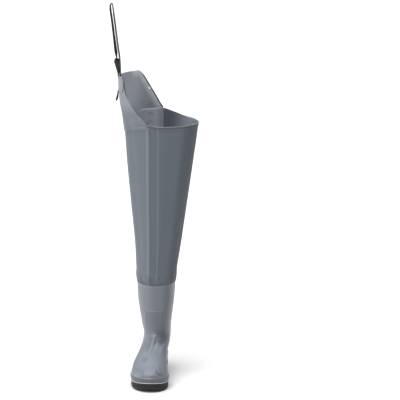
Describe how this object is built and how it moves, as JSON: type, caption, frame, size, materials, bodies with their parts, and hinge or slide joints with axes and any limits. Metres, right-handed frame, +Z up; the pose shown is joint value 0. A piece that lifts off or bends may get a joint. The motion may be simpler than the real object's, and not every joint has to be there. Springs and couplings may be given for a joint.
{
  "type": "hip wader",
  "caption": "Right-foot hip wader: moulded rubber boot, coated-fabric leg with a raised outer hip flap, and a webbing belt loop with a buckle.",
  "frame": {"origin": "centre of the heel's flat contact face on the floor", "axes": "+Z up; the toe points to -Y; +X is the inner (medial) side of a right foot"},
  "size_m": [0.2624, 0.3448, 1.1116],
  "materials": {
    "boot_rubber": "satin moulded rubber",
    "sole_rubber": "matt black rubber",
    "welt_rubber": "pale rubber line",
    "leg_fabric": "coated fabric, soft sheen",
    "patch_fabric": "pale reinforcing fabric",
    "webbing": "woven black webbing",
    "buckle_plastic": "moulded black plastic",
    "eyelet_metal": "nickel",
    "footbed": "felt footbed"
  },
  "bodies": {
    "root": {"outsole": "sole_rubber", "welt": "welt_rubber", "insole": "footbed", "boot_upper": "boot_rubber", "leg": "leg_fabric", "hip_flap": "leg_fabric", "strap_patch": "patch_fabric", "strap_loop": "webbing", "strap_tab": "webbing", "strap_tail": "webbing", "buckle": "buckle_plastic", "eyelet": "eyelet_metal"}
  },
  "joints": []
}
